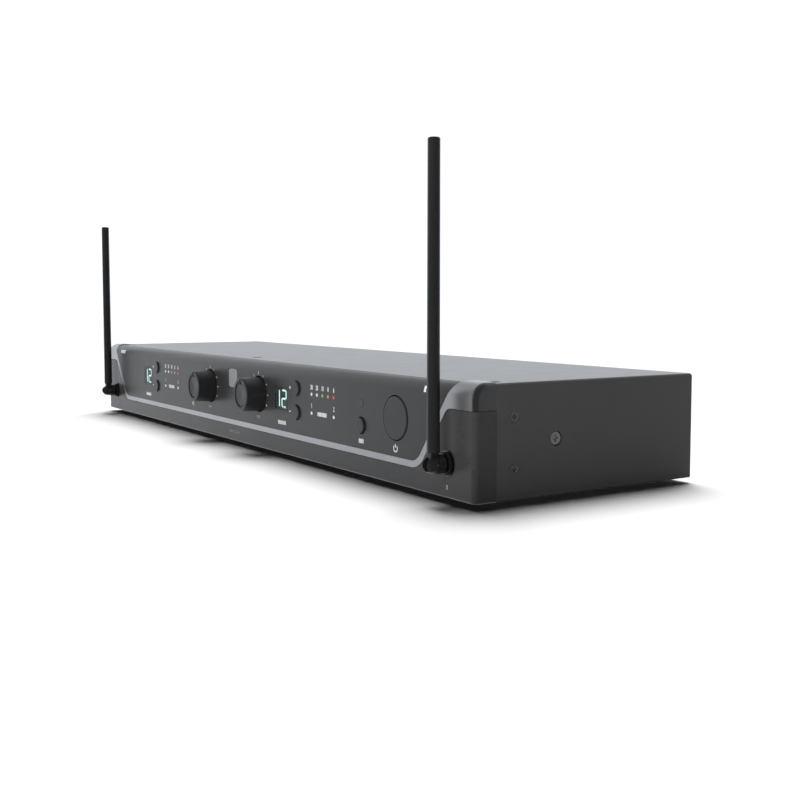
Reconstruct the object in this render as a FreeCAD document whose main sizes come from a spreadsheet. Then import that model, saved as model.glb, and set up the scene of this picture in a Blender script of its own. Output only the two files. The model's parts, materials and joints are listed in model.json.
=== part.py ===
"""Wireless microphone receiver, one rack unit high: a steel case with a plastic front.

Frame: +X runs along the front from the left end to the right end as the user faces it,
+Y runs from the front to the rear and +Z is up.  The origin lies under the middle of the
whole object, on the surface that its feet stand on.  behind(y) is a distance behind the
plane of the control panel and above(z) is a height above the underside of the case.
"""
import FreeCAD, Part
import math
import os
import Sketcher
from FreeCAD import Placement, Rotation, Vector

DIMENSIONS = [
    ("front", -52.9, "Y of the control panel plane"),
    ("base", 2.5, "Z of the underside of the case, the height of the feet"),
    ("half_wide", 213.5, "half the width of the case"),
    ("high", 44.0, "height of the case"),
    ("deep", 114.4, "depth of the case"),
    ("steel", 1.2, "case sheet"),
    ("bend", 1.3, "outer bend radius of the cover"),
    ("seam", 0.2, "gap between pieces that sit side by side"),
    ("side_seam", 0.06, "gap between the plastic front and the steel behind it"),
    ("bezel_deep", 10.2, "depth of the plastic front along the sides"),
    ("skin", 2.5, "wall of the plastic front"),
    ("edge_round", 2.0, "rounding of the upright edges"),
    ("lower_round", 0.7, "rounding of the front's lower edge"),
    ("brow_round", 5.5, "rounding of the panel's upper edge"),
    ("brow_deep", 4.7, "where the cover starts behind the panel"),
    ("ledge", 1.7, "ledge that carries the trim and the panel"),
    ("strip_low", 8.5, "lower edge of the light strip"),
    ("strip_high", 11.2, "upper edge of the light strip"),
    ("strip_wide", 3.6, "width of the strip's sloping part, along X"),
    ("slope_foot", 175.7, "X where the slope starts, at the strip's upper edge"),
    ("slope_lean", 0.739, "run along X for each millimetre up"),
    ("slope_top", 50.0, "height that the slope is drawn to"),
    ("inner_round", 8.0, "inner corner of the strip"),
    ("outer_round", 10.7, "outer corner of the strip"),
    ("cap_low", 34.1, "lower edge of the end caps"),
    ("cap_round", 5.0, "corner between the slope and the cap"),
    ("cap_rise", 0.5, "how far the caps stand above the cover"),
    ("cap_brow", 6.0, "rounding of the caps' upper front edge"),
    ("channel_pitch", 190.2, "from a control of the left channel to the right one"),
    ("window_x", 57.0, "display window, right channel"),
    ("window_z", 26.9, "display window"),
    ("window_wide", 13.6, "display window"),
    ("window_high", 10.8, "display window"),
    ("digit_wide", 5.3, "one digit of the display"),
    ("digit_high", 8.9, "one digit of the display"),
    ("digit_pitch", 7.2, "from digit to digit"),
    ("stroke", 0.85, "width of a lit segment"),
    ("key_x", 73.5, "channel keys, right channel"),
    ("key_up_z", 32.9, "upper channel key"),
    ("key_down_z", 21.5, "lower channel key"),
    ("key_r", 3.35, "radius of a small key"),
    ("key_gap", 0.45, "gap round a key"),
    ("key_travel", 0.6, "travel of a key"),
    ("sync_x", 133.2, "sync key and sensor"),
    ("sync_z", 21.3, "sync key"),
    ("sensor_z", 31.0, "sensor window"),
    ("sensor_r", 1.85, "radius of the sensor window"),
    ("power_x", 160.4, "power key"),
    ("power_z", 27.0, "power key"),
    ("power_r", 8.9, "radius of the power key"),
    ("lamp_x", 88.5, "first lamp of the meter, right channel"),
    ("lamp_pitch", 5.22, "from lamp to lamp"),
    ("lamp_r", 0.75, "radius of a lamp"),
    ("meter_z", 31.3, "row of meter lamps"),
    ("aerial_lamp_z", 22.5, "row of aerial lamps"),
    ("badge_z", 33.4, "badge"),
    ("badge_wide", 10.6, "badge"),
    ("badge_high", 9.8, "badge"),
    ("knob_x", 31.4, "volume knobs, left and right of the middle"),
    ("knob_z", 27.3, "volume knobs"),
    ("knob_well", 9.3, "radius of the well that a knob turns in"),
    ("knob_r", 8.65, "radius of a knob at its foot"),
    ("knob_face_r", 8.5, "radius of a knob at its face"),
    ("knob_reach", 10.2, "how far a knob stands out"),
    ("shaft_r", 3.0, "radius of a volume shaft"),
    ("turning_fit", 0.05, "radial clearance of a turning fit"),
    ("aerial_x", 196.4, "aerials, left and right of the middle"),
    ("aerial_z", 13.2, "axis of the aerial connectors"),
    ("hinge_out", 6.3, "from the panel plane out to the elbow hinge"),
    ("elbow_r", 3.4, "radius of the elbow's ball"),
    ("nose", 4.3, "from the hinge to the front of the elbow's nose"),
    ("collar_r", 3.63, "radius of the elbow's knurled collar"),
    ("slot_half", 1.4, "half the slot in the elbow"),
    ("tongue_half", 1.1, "half the thickness of the mast's tongue"),
    ("tongue_r", 1.95, "radius of the tongue's round end"),
    ("slot_r", 2.3, "radius of the space round the tongue's end"),
    ("pin_r", 0.75, "radius of the hinge pin"),
    ("neck_r", 1.75, "radius of the neck under the mast"),
    ("neck_foot", 4.4, "from the hinge up to the round neck"),
    ("mast_foot", 4.7, "from the hinge up to the mast's foot"),
    ("mast_r", 2.5, "radius of the mast at its foot"),
    ("mast_tip_r", 2.38, "radius of the mast at its tip"),
    ("mast_right_end", 120.5, "from the hinge to the tip, right mast"),
    ("mast_left_end", 111.2, "from the hinge to the tip, left mast"),
    ("spigot_r", 1.7, "radius of the elbow's spigot"),
    ("barrel_r", 3.0, "radius of the aerial connector's barrel"),
    ("board", 1.6, "thickness of a circuit board"),
    ("board_front", 9.0, "from the panel plane back to the front board"),
    ("deck", 6.0, "height of the main board above the base"),
    ("socket_x", 120.0, "output sockets, left and right of the middle"),
    ("rear_z", 21.5, "centre height of the rear sockets"),
    ("socket_r", 11.6, "radius of an output socket's shell"),
    ("flange", 2.0, "how far the rear sockets stand out"),
    ("jack_r", 3.2, "bore of the mixed output jack"),
    ("jack_long", 30.0, "depth of that bore"),
    ("supply_x", 175.0, "supply inlet"),
    ("top_screw_x", 206.0, "outer screws of the cover's front edge"),
    ("top_screw_y", 14.0, "those screws, behind the panel"),
    ("side_screw_y", 18.55, "small side screws, behind the panel"),
    ("side_screw_low", 11.6, "lower side screw"),
    ("side_screw_high", 31.3, "upper side screw"),
    ("rack_screw_y", 39.0, "large side screw, behind the panel"),
    ("rack_screw_z", 21.8, "large side screw"),
    ("rear_screw_z", 39.2, "screws through the rear wall"),
    ("foot_r", 6.0, "radius of a rubber foot"),
]

doc = FreeCAD.newDocument("receiver")
sheet = doc.addObject("Spreadsheet::Sheet", "Dims")
SUBPARTS = {}


# ---------------------------------------------------------------- bound numbers
class Bound:
    """A number that remembers the spreadsheet expression it came from."""

    def __init__(self, value, text):
        self.value = value
        self.text = text

    def __add__(self, other):
        other = bound(other)
        return Bound(self.value + other.value, f"({self.text} + {other.text})")

    def __sub__(self, other):
        other = bound(other)
        return Bound(self.value - other.value, f"({self.text} - {other.text})")

    def __mul__(self, other):
        other = bound(other)
        return Bound(self.value * other.value, f"{self.text} * {other.text}")

    def __truediv__(self, other):
        other = bound(other)
        return Bound(self.value / other.value, f"{self.text} / {other.text}")

    def __neg__(self):
        return self * -1

    def __radd__(self, other):
        return bound(other) + self

    def __rsub__(self, other):
        return bound(other) - self

    def __rmul__(self, other):
        return bound(other) * self


def bound(item):
    return item if isinstance(item, Bound) else Bound(float(item), f"({float(item)})")


class Dimensions:
    """Every cell of the sheet, by its name."""


d = Dimensions()
for row, (cell_name, cell_value, meaning) in enumerate(DIMENSIONS, start=1):
    sheet.set(f"A{row}", meaning)
    sheet.set(f"B{row}", str(cell_value))
    sheet.setAlias(f"B{row}", cell_name)
    setattr(d, cell_name, Bound(cell_value, f"Dims.{cell_name}"))
doc.recompute()


def behind(distance):
    return d.front + distance


def above(height):
    return d.base + height


def bind(item, prop, amount):
    item.setExpression(prop, bound(amount).text)


# ---------------------------------------------------------------- solids
TURNS = {
    "+Z": Rotation(),
    "-Z": Rotation(Vector(1, 0, 0), 180),
    "-Y": Rotation(Vector(1, 0, 0), 90),
    "+Y": Rotation(Vector(1, 0, 0), -90),
    "+X": Rotation(Vector(0, 1, 0), 90),
    "-X": Rotation(Vector(0, 1, 0), -90),
}


def place(item, where, direction="+Z"):
    """Put an object at a bound place, with its own Z along a direction."""
    spot = [bound(amount) for amount in where]
    item.Placement = Placement(Vector(*[amount.value for amount in spot]), TURNS[direction])
    for axis, amount in zip("xyz", spot):
        bind(item, f"Placement.Base.{axis}", amount)
    return item


def box(name, low, size):
    item = doc.addObject("Part::Box", name)
    for prop, amount in zip(("Length", "Width", "Height"), size):
        bind(item, prop, amount)
    return place(item, low)


def block(name, xs, ys, zs):
    """A box between pairs of X, Y and Z."""
    low = (xs[0], ys[0], zs[0])
    size = [bound(end) - start for start, end in (xs, ys, zs)]
    return box(name, low, size)


def rod(name, radius, long, where, direction="+Z"):
    item = doc.addObject("Part::Cylinder", name)
    bind(item, "Radius", radius)
    bind(item, "Height", long)
    return place(item, where, direction)


def taper(name, radius_start, radius_end, long, where, direction="+Z"):
    item = doc.addObject("Part::Cone", name)
    bind(item, "Radius1", radius_start)
    bind(item, "Radius2", radius_end)
    bind(item, "Height", long)
    return place(item, where, direction)


def ball(name, radius, where):
    item = doc.addObject("Part::Sphere", name)
    bind(item, "Radius", radius)
    return place(item, where)


def bullet(name, radius, reach, where, direction):
    """An egg shape whose long half axis lies along a direction."""
    item = doc.addObject("Part::Ellipsoid", name)
    bind(item, "Radius1", reach)
    bind(item, "Radius2", radius)
    bind(item, "Radius3", radius)
    return place(item, where, direction)


def join(name, pieces):
    item = doc.addObject("Part::MultiFuse", name)
    item.Shapes = pieces
    item.Refine = True
    return item


def group(name, pieces):
    """Separate solids that share one node."""
    item = doc.addObject("Part::Compound", name)
    item.Links = pieces
    return item


def cut(name, base, tools):
    item = doc.addObject("Part::Cut", name)
    item.Base = base
    item.Tool = tools[0] if len(tools) == 1 else group(name + "_tools", tools)
    return item


def overlap(name, first, second):
    item = doc.addObject("Part::Common", name)
    item.Base = first
    item.Tool = second
    return item


def subpart(label, item):
    item.Label = label
    SUBPARTS[label] = item


# ---------------------------------------------------------------- bodies
def new_body(name):
    return doc.addObject("PartDesign::Body", name)


def polygon(body, name, role, corners):
    """A closed outline on a plane of the body, its corners bound to the sheet."""
    sketch = body.newObject("Sketcher::SketchObject", name)
    plane = next(part for part in body.Origin.OriginFeatures if part.Role == role)
    sketch.AttachmentSupport = [(plane, "")]
    sketch.MapMode = "FlatFace"
    corners = [(bound(u), bound(v)) for u, v in corners]
    spots = [Vector(u.value, v.value, 0) for u, v in corners]
    count = len(spots)
    for index in range(count):
        sketch.addGeometry(Part.LineSegment(spots[index], spots[(index + 1) % count]), False)
    for index in range(count):
        sketch.addConstraint(Sketcher.Constraint("Coincident", index, 2, (index + 1) % count, 1))
    for index, corner in enumerate(corners):
        for kind, amount in zip(("DistanceX", "DistanceY"), corner):
            row = sketch.addConstraint(Sketcher.Constraint(kind, -1, 1, index, 1, amount.value))
            sketch.setExpression(f"Constraints[{row}]", amount.text)
    return sketch


def rectangle(us, vs):
    return [(us[0], vs[0]), (us[1], vs[0]), (us[1], vs[1]), (us[0], vs[1])]


def pad(body, sketch, long):
    """Thicken a sketch by the same amount on both sides of its plane."""
    feature = body.newObject("PartDesign::Pad", sketch.Name + "_pad")
    feature.Profile = sketch
    feature.Midplane = True
    bind(feature, "Length", long)
    sketch.Visibility = False
    doc.recompute()


def pocket(body, sketch, long):
    """Cut a sketch away on both sides of its plane, and check that something went."""
    before = body.Shape.Volume
    feature = body.newObject("PartDesign::Pocket", sketch.Name + "_pocket")
    feature.Profile = sketch
    feature.Midplane = True
    bind(feature, "Length", long)
    doc.recompute()
    if body.Shape.Volume > before - 0.001:
        raise RuntimeError(sketch.Name + " cut nothing")


def fillet(body, name, radius, wanted):
    """Round the edges of the body's last feature that a test picks out."""
    base = body.Tip
    edges = [f"Edge{i}" for i, edge in enumerate(base.Shape.Edges, start=1) if wanted(edge.BoundBox)]
    if not edges:
        raise RuntimeError(name + " found no edge")
    feature = body.newObject("PartDesign::Fillet", name)
    feature.Base = (base, edges)
    bind(feature, "Radius", radius)
    doc.recompute()


def near(value, amount):
    return abs(value - bound(amount).value) < 0.02


def turned(name, profile, where, direction):
    """A body turned about its own Z from (radius, height) corners, then placed."""
    body = new_body(name)
    sketch = polygon(body, name + "_profile", "XZ_Plane", profile)
    feature = body.newObject("PartDesign::Revolution", name + "_turn")
    feature.Profile = sketch
    feature.ReferenceAxis = (sketch, ["V_Axis"])
    feature.Angle = 360
    sketch.Visibility = False
    doc.recompute()
    return place(body, where, direction)


def plate_body(name, role, corners, thick, where, corner_round, axis):
    """A flat plate from an outline, its corners rounded, thick along one axis."""
    body = new_body(name)
    pad(body, polygon(body, name + "_outline", role, corners), thick)
    if corner_round:
        length = f"{axis}Length"
        others = [f"{other}Length" for other in "XYZ" if other != axis]

        def corner_edge(bounds):
            return getattr(bounds, length) > 0.1 and all(getattr(bounds, o) < 0.01 for o in others)

        fillet(body, name + "_corners", corner_round, corner_edge)
    return place(body, where)


# ---------------------------------------------------------------- outlines of the front
SIDES = (("left", -1), ("right", 1))


def slope_x(height, extra=0):
    """X of the trim's sloping inner edge at a height above the base."""
    return d.slope_foot + (bound(height) - d.strip_high) * d.slope_lean + extra


def both_ends(right):
    """An outline given for the right half, carried round the left half."""
    return right + [(-bound(x), z) for x, z in reversed(right)]


def front_prism(name, right, roundings):
    """A prism through the whole front, from the right half of its outline."""
    body = new_body(name)
    pad(body, polygon(body, name + "_outline", "XZ_Plane", both_ends(right)), 140)
    for index, (radius, (x, z)) in enumerate(roundings):
        x = bound(x).value
        z = bound(z).value

        def wanted(bounds, x=x, z=z):
            middle = bounds.Center
            return bounds.YLength > 100 and math.hypot(abs(middle.x) - x, middle.z - z) < 0.1

        fillet(body, f"{name}_round_{index}", radius, wanted)
    return body


def trim_corners():
    """Corners of the trim on the right: outer foot, under the cap, inner foot, inner top."""
    foot = (slope_x(d.strip_low, d.strip_wide), above(d.strip_low))
    under_cap = (slope_x(d.cap_low, d.strip_wide), above(d.cap_low))
    inner = (slope_x(d.strip_high), above(d.strip_high))
    inner_top = (slope_x(d.slope_top), above(d.slope_top))
    return foot, under_cap, inner, inner_top


def front_block(name, inset, top, brow, edge_round):
    """The outer form of the front, or its hollow when it is inset."""
    body = new_body(name)
    profile = rectangle((behind(inset), behind(d.bezel_deep + 2)), (above(inset), above(top)))
    pad(body, polygon(body, name + "_profile", "YZ_Plane", profile), (d.half_wide - inset) * 2)
    front_y = behind(inset)

    def brow_edge(bounds):
        middle = bounds.Center
        return bounds.XLength > 300 and near(middle.y, front_y) and near(middle.z, above(top))

    def lower_edge(bounds):
        middle = bounds.Center
        return bounds.XLength > 300 and near(middle.y, front_y) and near(middle.z, above(inset))

    def upright_edge(bounds):
        middle = bounds.Center
        return bounds.ZLength > 20 and near(middle.y, front_y) and near(abs(middle.x), d.half_wide - inset)

    fillet(body, name + "_brow", brow, brow_edge)
    if edge_round:
        fillet(body, name + "_upright", edge_round, upright_edge)
        fillet(body, name + "_lower", d.lower_round, lower_edge)
    return body


# ---------------------------------------------------------------- places of the controls
def channel_xs(x):
    """X of a control in the left channel and in the right one."""
    return (("left", x - d.channel_pitch), ("right", x))


def small_keys():
    """Node name, X and Z of each small key."""
    keys = []
    for side, x in channel_xs(d.key_x):
        keys.append((f"channel_up_{side}", x, d.key_up_z))
        keys.append((f"channel_down_{side}", x, d.key_down_z))
    keys.append(("sync_button", d.sync_x, d.sync_z))
    return keys


def lamps(name, steps, z):
    """Name, X and Z of lamps in both channels, at steps of the meter's pitch."""
    spots = []
    for side, x in channel_xs(d.lamp_x):
        for step in steps:
            spots.append((f"{name}_{side}_{step}", x + d.lamp_pitch * step, z))
    return spots


LAMP_GROUPS = [
    ("meter_lamps_white", lamps("white", (0, 1), d.meter_z)),
    ("meter_lamps_green", lamps("green", (2,), d.meter_z)),
    ("meter_lamps_amber", lamps("amber", (3,), d.meter_z)),
    ("meter_lamps_red", lamps("red", (4,), d.meter_z)),
    ("aerial_lamps", lamps("aerial", (0, 4), d.aerial_lamp_z)),
]


# ---------------------------------------------------------------- plastic front
def panel_hole(name, radius, x, z):
    return rod(name, radius, 8, (x, behind(d.skin + 3), above(z)), "-Y")


def control_panel(shell, prism):
    """The dark plate that carries the controls and folds over the brow."""
    step_y = d.brow_deep - d.seam
    step_z = d.high - d.steel - d.seam
    tools = [block("panel_step", (-d.half_wide, d.half_wide), (behind(step_y), behind(20)),
                   (above(step_z), above(d.high + 5)))]
    for side, x in channel_xs(d.window_x):
        half_wide = d.window_wide / 2 + 0.1
        half_high = d.window_high / 2 + 0.1
        tools.append(block(f"window_{side}", (x - half_wide, x + half_wide), (behind(-2), behind(8)),
                           (above(d.window_z - half_high), above(d.window_z + half_high))))
    for name, x, z in small_keys():
        tools.append(panel_hole(f"hole_{name}", d.key_r + d.key_gap, x, z))
    tools.append(panel_hole("hole_power", d.power_r + d.key_gap, d.power_x, d.power_z))
    tools.append(panel_hole("hole_sensor", d.sensor_r + 0.05, d.sync_x, d.sensor_z))
    for side, sign in SIDES:
        tools.append(panel_hole(f"well_{side}", d.knob_well, d.knob_x * sign, d.knob_z))
    for _, spots in LAMP_GROUPS:
        for name, x, z in spots:
            tools.append(panel_hole(f"hole_{name}", d.lamp_r + 0.03, x, z))
    half_wide = d.badge_wide / 2 + 0.1
    half_high = d.badge_high / 2 + 0.1
    tools.append(block("badge_seat", (-half_wide, half_wide), (behind(-1), behind(0.6)),
                       (above(d.badge_z - half_high), above(d.badge_z + half_high))))
    subpart("control_panel", cut("control_panel", overlap("panel_plate", shell, prism), tools))


def accent_trim(shell):
    """The light strip under the panel, its slopes and the caps over the upper corners."""
    foot, under_cap, inner, inner_top = trim_corners()
    beyond = d.half_wide + 5
    cap_edge = (beyond, above(d.cap_low))
    cap_top = (beyond, above(d.slope_top))
    outer = front_prism("trim_prism", [foot, under_cap, cap_edge, cap_top],
                        [(d.outer_round, foot), (d.cap_round, under_cap)])
    opening = front_prism("trim_opening", [inner, inner_top], [(d.inner_round, inner)])
    subpart("accent_trim", cut("accent_trim", overlap("trim_blank", shell, outer), [opening]))


def front_bezel(shell):
    """The dark frame: lower band, end wings, side returns, ledge and fixing lugs."""
    foot, under_cap, inner, inner_top = trim_corners()
    foot = (foot[0] + d.seam, foot[1] - d.seam)
    under_cap = (under_cap[0] + d.seam, under_cap[1] - d.seam)
    beyond = d.half_wide + 5
    right = [(beyond, d.base - 5), (beyond, under_cap[1]), under_cap, foot]
    prism = front_prism("bezel_prism", right, [(d.outer_round, foot), (d.cap_round, under_cap)])
    pieces = [overlap("bezel_skin", shell, prism)]

    inside = d.half_wide - d.skin
    slab = block("ledge_slab", (-inside, inside), (behind(d.skin), behind(d.skin + d.ledge)),
                 (above(d.skin), above(d.high - d.brow_round - d.seam)))
    window_right = [(inner[0] - 4, inner[1] + 3), (inner_top[0] - 4, inner_top[1])]
    window = front_prism("ledge_window", window_right, [])
    pieces.append(cut("bezel_ledge", slab, [window]))

    holes = []
    for side, sign, inwards in (("left", -1, "+X"), ("right", 1, "-X")):
        lug_outer = (d.half_wide - d.steel - 0.1) * sign
        lug_inner = lug_outer - 2.2 * sign
        xs = (lug_outer, lug_inner) if sign < 0 else (lug_inner, lug_outer)
        pieces.append(block(f"lug_{side}", xs, (behind(d.skin), behind(24)),
                            (above(5), above(d.cap_low - d.seam))))
        for level, z in (("low", d.side_screw_low), ("high", d.side_screw_high)):
            holes.append(rod(f"lug_hole_{side}_{level}", 1.1, 12,
                             (d.half_wide * sign, behind(d.side_screw_y), above(z)), inwards))
        holes.append(rod(f"aerial_hole_{side}", d.barrel_r + 0.1, 12,
                         (d.aerial_x * sign, behind(8), above(d.aerial_z)), "-Y"))
    for name, x in floor_screw_xs():
        pieces.append(block(f"floor_tab_{name}", (x - 6, x + 6), (behind(8), behind(22)),
                            (above(d.steel + 0.05), above(3.8))))
        holes.append(rod(f"floor_tab_hole_{name}", 1.1, 8, (x, behind(16), above(-1))))
    subpart("front_bezel", cut("front_bezel", join("bezel_solid", pieces), holes))


def badge():
    """A blank light plate, set into the panel."""
    corners = rectangle((-d.badge_wide / 2, d.badge_wide / 2), (-d.badge_high / 2, d.badge_high / 2))
    subpart("badge", plate_body("badge", "XZ_Plane", corners, 0.7, (0, behind(0.25), above(d.badge_z)),
                                1.6, "Y"))


# ---------------------------------------------------------------- steel case
def row_of_four(inner, outer):
    """X of four screws in a row, spaced evenly about the middle."""
    names = ("left", "mid_left", "mid_right", "right")
    return list(zip(names, [bound(x) for x in (-outer, -inner, inner, outer)]))


def floor_screw_xs():
    return row_of_four(50, 150)


def rear_screw_xs():
    return row_of_four(65, 195)


def top_screw_xs():
    return [("left", -d.top_screw_x), ("middle", bound(0)), ("right", d.top_screw_x)]


def side_screws_at():
    """Name, direction inwards and place on the case's side of each small side screw."""
    spots = []
    for side, sign, inwards in (("left", -1, "+X"), ("right", 1, "-X")):
        for level, z in (("low", d.side_screw_low), ("high", d.side_screw_high)):
            spots.append((f"{side}_{level}", inwards, sign, (behind(d.side_screw_y), above(z))))
    return spots


def sink_tools(name, where, direction, mouth=2.1):
    """Tools for a countersunk hole for a small screw."""
    return [taper(name + "_sink", mouth, 1.2, 1.05, where, direction),
            rod(name + "_hole", 1.2, 4, where, direction)]


def top_cover(panel_prism):
    """One folded sheet: the top, both sides, and a lip down inside the rear wall."""
    body = new_body("cover_body")
    start = d.bezel_deep + d.side_seam
    outline = rectangle((behind(start), behind(d.deep)), (d.base, above(d.high)))
    pad(body, polygon(body, "cover_outer", "YZ_Plane", outline), d.half_wide * 2)

    def side_bend(bounds):
        return bounds.YLength > 50 and near(bounds.Center.z, above(d.high))

    def rear_bend(bounds):
        middle = bounds.Center
        return bounds.XLength > 300 and near(middle.z, above(d.high)) and near(middle.y, behind(d.deep))

    fillet(body, "cover_side_bends", d.bend, side_bend)
    fillet(body, "cover_rear_bend", d.bend, rear_bend)
    inside = d.half_wide - d.steel
    inner = rectangle((-inside, inside), (d.base - 1, above(d.high - d.steel)))
    pocket(body, polygon(body, "cover_inner", "XZ_Plane", inner), 200)

    lip = block("lip_blank", (-d.half_wide, d.half_wide), (behind(d.brow_deep), behind(start + 1)),
                (above(d.high - d.steel), above(d.high)))
    rear_lip_y = d.deep - d.steel * 2 - 0.1
    rear_lip = block("rear_lip", (-d.half_wide + 5, d.half_wide - 5),
                     (behind(rear_lip_y), behind(rear_lip_y + d.steel)),
                     (above(36), above(d.high - d.steel / 2)))
    folded = join("cover_folded", [body, overlap("front_lip", lip, panel_prism), rear_lip])
    tools = []
    for name, x in top_screw_xs():
        tools += sink_tools(f"cover_top_{name}", (x, behind(d.top_screw_y), above(d.high)), "-Z", 3.2)
    for name, inwards, sign, (y, z) in side_screws_at():
        tools += sink_tools(f"cover_side_{name}", (d.half_wide * sign, y, z), inwards, 2.35)
    for side, sign, inwards in (("left", -1, "+X"), ("right", 1, "-X")):
        tools.append(rod(f"cover_rack_{side}", 2.95, 4,
                         (d.half_wide * sign, behind(d.rack_screw_y), above(d.rack_screw_z)), inwards))
    for name, x in rear_screw_xs():
        where = (x, behind(d.deep - d.steel), above(d.rear_screw_z))
        tools.append(rod(f"rear_lip_hole_{name}", 1.25, 4, where, "-Y"))
    subpart("top_cover", cut("top_cover", folded, tools))


def chassis_pan():
    """Floor and rear wall of the case, folded from one sheet."""
    body = new_body("pan_body")
    start = behind(d.bezel_deep + d.side_seam)
    wall_top = above(d.high - d.steel - 0.1)
    rear = behind(d.deep)
    inside = behind(d.deep - d.steel)
    outline = [(start, d.base), (rear, d.base), (rear, wall_top), (inside, wall_top),
               (inside, above(d.steel)), (start, above(d.steel))]
    pad(body, polygon(body, "pan_profile", "YZ_Plane", outline), (d.half_wide - d.steel - 0.1) * 2)
    outside = behind(d.deep + 2)
    tools = []
    for side, sign in SIDES:
        where = (d.socket_x * sign, outside, above(d.rear_z))
        tools.append(rod(f"pan_socket_{side}", d.socket_r + 0.1, 6, where, "-Y"))
    tools.append(rod("pan_jack", 4.6, 6, (0, outside, above(d.rear_z)), "-Y"))
    tools.append(block("pan_supply", (d.supply_x - 5.6, d.supply_x + 5.6), (behind(d.deep - 3), outside),
                       (above(d.rear_z - 5.6), above(d.rear_z + 5.6))))
    for name, x in rear_screw_xs():
        tools.append(rod(f"pan_rear_{name}", 1.4, 4, (x, outside, above(d.rear_screw_z)), "-Y"))
    for name, x in floor_screw_xs():
        tools += sink_tools(f"pan_floor_{name}", (x, behind(16), d.base), "+Z")
    subpart("chassis_pan", cut("chassis_pan", body, tools))


def front_rail():
    """Steel angle behind the panel that takes the screws of the cover's front edge."""
    body = new_body("rail_body")
    top = above(d.high - d.steel - 0.05)
    under = above(d.high - d.steel * 2 - 0.05)
    outline = [(behind(11.5), above(36)), (behind(12.7), above(36)), (behind(12.7), under),
               (behind(20), under), (behind(20), top), (behind(11.5), top)]
    pad(body, polygon(body, "rail_profile", "YZ_Plane", outline), (d.top_screw_x + 3.5) * 2)
    tools = [rod(f"rail_hole_{name}", 1.1, 8, (x, behind(d.top_screw_y), above(d.high)), "-Z")
             for name, x in top_screw_xs()]
    subpart("front_rail", cut("front_rail", body, tools))


def side_brackets():
    """Angles inside the case that the large side screws thread into."""
    pieces = []
    for side, sign, inwards in (("left", -1, "+X"), ("right", 1, "-X")):
        outer = (d.half_wide - d.steel - 0.1) * sign
        wall = outer - 2 * sign
        sole = outer - 12 * sign
        ys = (behind(d.rack_screw_y - 9), behind(d.rack_screw_y + 9))
        low = above(d.steel)
        upright = block(f"bracket_upright_{side}", sorted_pair(outer, wall), ys, (low, above(32)))
        foot = block(f"bracket_foot_{side}", sorted_pair(outer, sole), ys, (low, low + 2))
        hole = rod(f"bracket_hole_{side}", 1.6, 8,
                   (d.half_wide * sign, behind(d.rack_screw_y), above(d.rack_screw_z)), inwards)
        pieces.append(cut(f"bracket_{side}", join(f"bracket_solid_{side}", [upright, foot]), [hole]))
    subpart("side_brackets", group("side_brackets", pieces))


def sorted_pair(first, second):
    return (first, second) if first.value < second.value else (second, first)


def rubber_feet():
    pieces = []
    for x_name, x in (("left", -180), ("right", 180)):
        for y_name, y in (("front", 24), ("rear", 100)):
            name = f"foot_{x_name}_{y_name}"
            pieces.append(taper(name, d.foot_r - 0.6, d.foot_r, d.base, (x, behind(y), 0)))
    subpart("rubber_feet", group("rubber_feet", pieces))


# ---------------------------------------------------------------- screws
def cross_slots(name, reach, depth, where, direction):
    """Two crossed slots sunk into a screw head whose face lies at the place."""
    slots = []
    spot = Vector(*[bound(amount).value for amount in where])
    for turn, (wide, deep) in enumerate(((reach, reach * 0.3), (reach * 0.3, reach))):
        bar = doc.addObject("Part::Box", f"{name}_slot_{turn}")
        bar.Length = wide * 2
        bar.Width = deep * 2
        bar.Height = depth + 1
        centre = Placement(Vector(-wide, -deep, -1), Rotation())
        bar.Placement = Placement(spot, TURNS[direction]).multiply(centre)
        slots.append(bar)
    return slots


def flat_screw(name, long, where, direction):
    """A small countersunk screw: its face lies at the place, its point runs inwards."""
    head = taper(name + "_head", 2.0, 1.0, 0.75, where, direction)
    shank = rod(name + "_shank", 1.0, long, where, direction)
    solid = join(name + "_solid", [head, shank])
    return cut(name, solid, cross_slots(name, 1.15, 0.55, where, direction))


def pan_screw(name, head_r, head_high, shank_r, long, where, direction):
    """A pan-head screw: the top of its head lies at the place."""
    head = rod(name + "_head", head_r, head_high, where, direction)
    shank = rod(name + "_shank", shank_r, long, where, direction)
    solid = join(name + "_solid", [head, shank])
    return cut(name, solid, cross_slots(name, head_r * 0.6, 0.8, where, direction))


def screws():
    top = [flat_screw(f"top_screw_{name}", 5, (x, behind(d.top_screw_y), above(d.high - 0.35)), "-Z")
           for name, x in top_screw_xs()]
    subpart("top_screws", group("top_screws", top))
    side = [flat_screw(f"side_screw_{name}", 4.5, ((d.half_wide - 0.2) * sign, y, z), inwards)
            for name, inwards, sign, (y, z) in side_screws_at()]
    subpart("side_screws", group("side_screws", side))
    floor = [flat_screw(f"floor_screw_{name}", 3.5, (x, behind(16), d.base + 0.1), "+Z")
             for name, x in floor_screw_xs()]
    subpart("floor_screws", group("floor_screws", floor))
    rack = []
    for name, sign, inwards in (("left", -1, "+X"), ("right", 1, "-X")):
        where = ((d.half_wide - 0.45) * sign, behind(d.rack_screw_y), above(d.rack_screw_z))
        rack.append(pan_screw(f"rack_screw_{name}", 2.5, 0.85, 1.5, 6, where, inwards))
    subpart("rack_screws", group("rack_screws", rack))
    rear = []
    for name, x in rear_screw_xs():
        where = (x, behind(d.deep + 1.4), above(d.rear_screw_z))
        rear.append(pan_screw(f"rear_screw_{name}", 2.5, 1.4, 1.15, 5, where, "-Y"))
    subpart("rear_screws", group("rear_screws", rear))


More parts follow.
